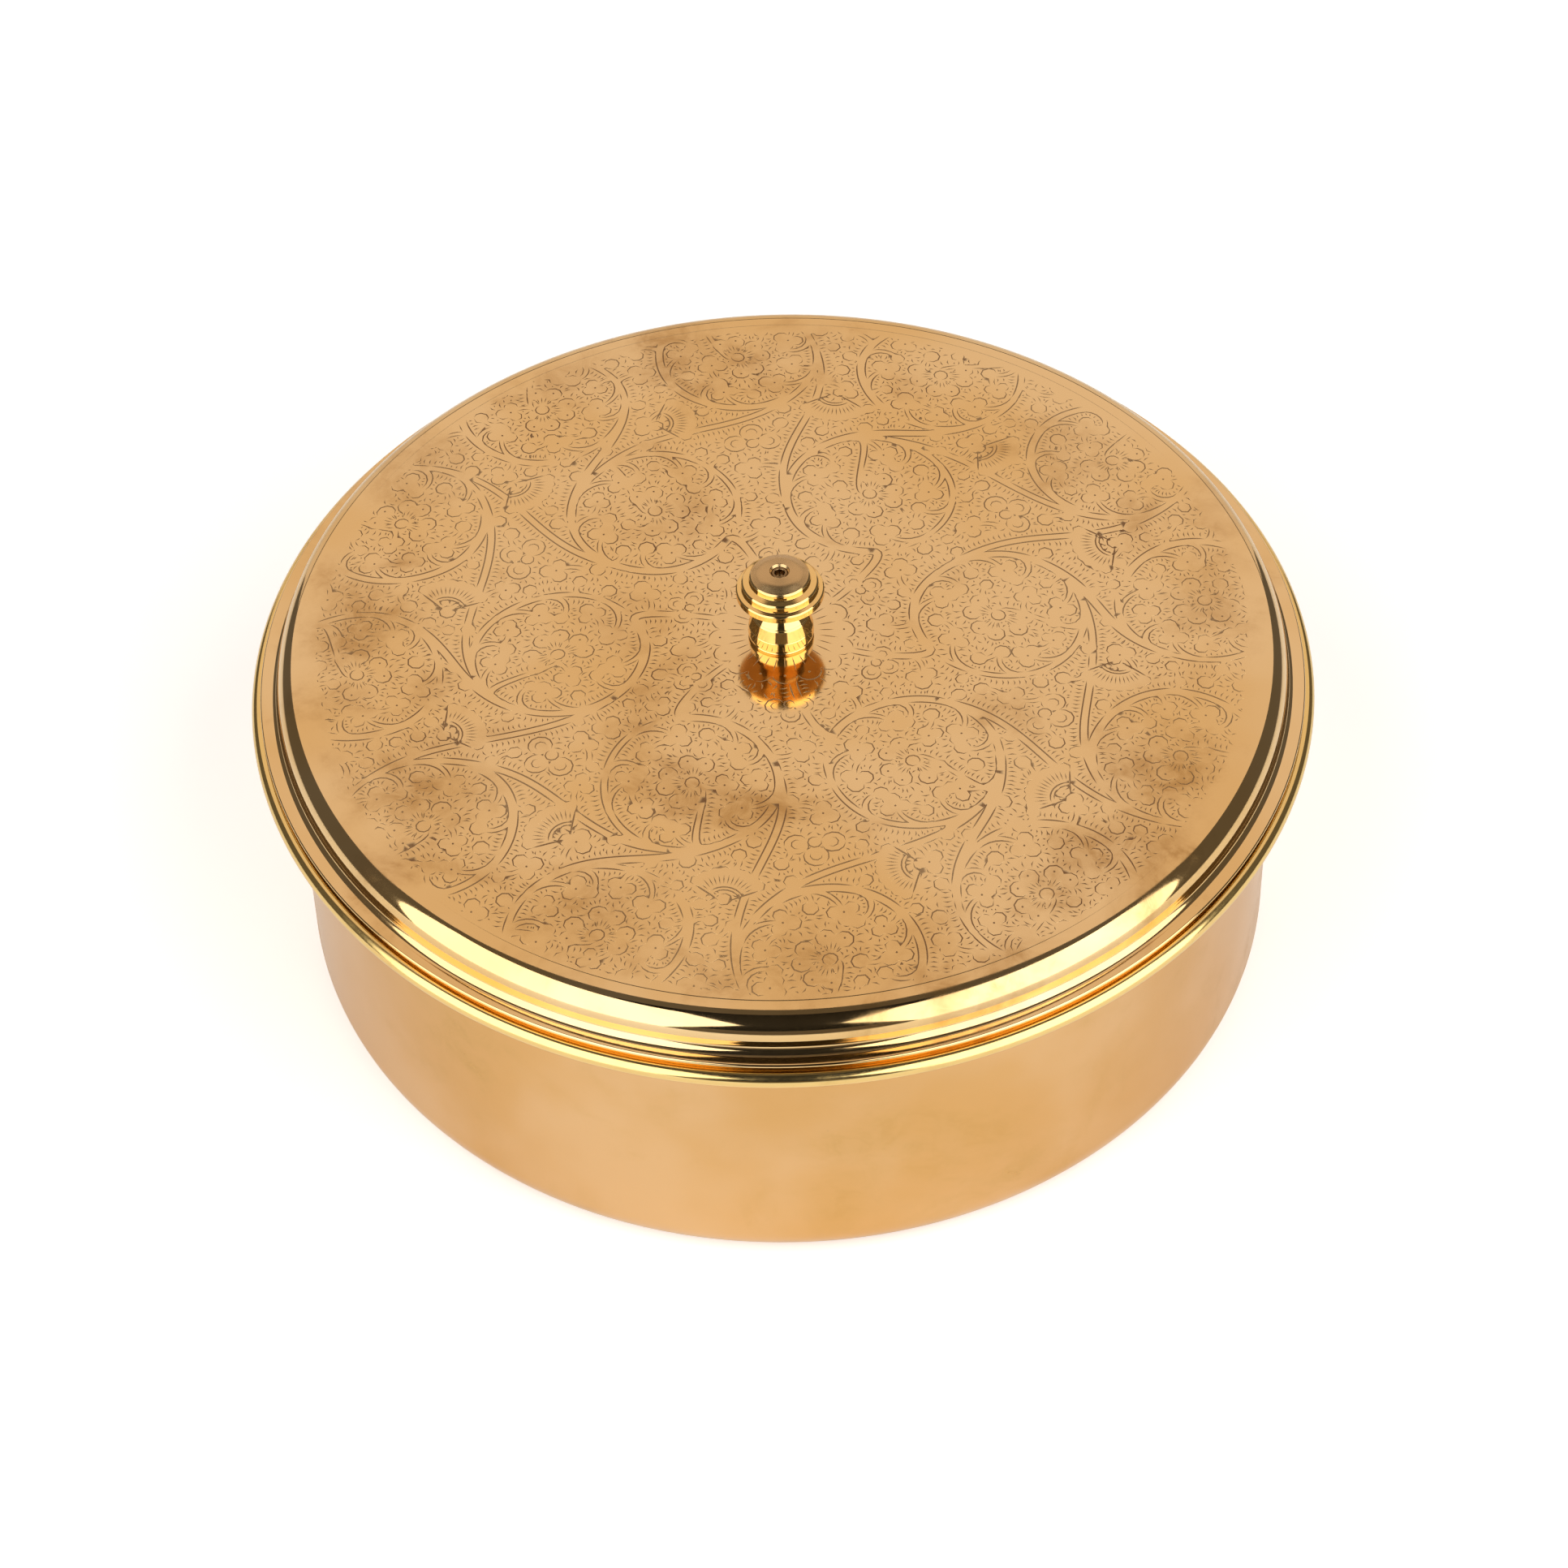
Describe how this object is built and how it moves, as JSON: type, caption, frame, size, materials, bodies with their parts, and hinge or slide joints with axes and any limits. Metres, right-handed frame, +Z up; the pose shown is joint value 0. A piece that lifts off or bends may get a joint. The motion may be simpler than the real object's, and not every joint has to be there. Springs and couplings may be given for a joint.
{
  "type": "spice box",
  "caption": "Round brass spice box with a rolled rim, a lift-off engraved lid with a turned knob, loose inner bowls and a small spoon.",
  "frame": {"origin": "centre of the box's underside", "axes": "+Z up along the axis of the box and its knob; +X along the spoon's handle"},
  "size_m": [0.216, 0.216, 0.0931],
  "materials": {
    "box_brass": "polished",
    "lid_brass": "satin",
    "knob_brass": "polished",
    "rivet_brass": "satin",
    "bowl_brass": "satin",
    "spoon_brass": "polished"
  },
  "bodies": {
    "box": {"box_shell": "box_brass"},
    "lid": {"lid_shell": "lid_brass", "lid_collar": "lid_brass", "knob": "knob_brass", "knob_rivet": "rivet_brass", "knob_washer": "rivet_brass"},
    "bowl_centre": {"bowl_centre": "bowl_brass"},
    "bowl_1": {"bowl_1": "bowl_brass"},
    "bowl_2": {"bowl_2": "bowl_brass"},
    "bowl_3": {"bowl_3": "bowl_brass"},
    "bowl_4": {"bowl_4": "bowl_brass"},
    "bowl_5": {"bowl_5": "bowl_brass"},
    "bowl_6": {"bowl_6": "bowl_brass"},
    "spoon": {"spice_spoon": "spoon_brass"}
  },
  "joints": [
    {"name": "lid_lift", "type": "slide", "parent": "box", "child": "lid", "axis": [0, 0, 1], "range_m": [0, 0.08]},
    {"name": "bowl_centre_lift", "type": "slide", "parent": "box", "child": "bowl_centre", "axis": [0, 0, 1], "range_m": [0, 0.018]},
    {"name": "bowl_1_lift", "type": "slide", "parent": "box", "child": "bowl_1", "axis": [0, 0, 1], "range_m": [0, 0.028]},
    {"name": "bowl_2_lift", "type": "slide", "parent": "box", "child": "bowl_2", "axis": [0, 0, 1], "range_m": [0, 0.028]},
    {"name": "bowl_3_lift", "type": "slide", "parent": "box", "child": "bowl_3", "axis": [0, 0, 1], "range_m": [0, 0.028]},
    {"name": "bowl_4_lift", "type": "slide", "parent": "box", "child": "bowl_4", "axis": [0, 0, 1], "range_m": [0, 0.028]},
    {"name": "bowl_5_lift", "type": "slide", "parent": "box", "child": "bowl_5", "axis": [0, 0, 1], "range_m": [0, 0.028]},
    {"name": "bowl_6_lift", "type": "slide", "parent": "box", "child": "bowl_6", "axis": [0, 0, 1], "range_m": [0, 0.028]},
    {"name": "spoon_lift", "type": "slide", "parent": "bowl_centre", "child": "spoon", "axis": [0, 0, 1], "range_m": [0, 0.018]}
  ]
}
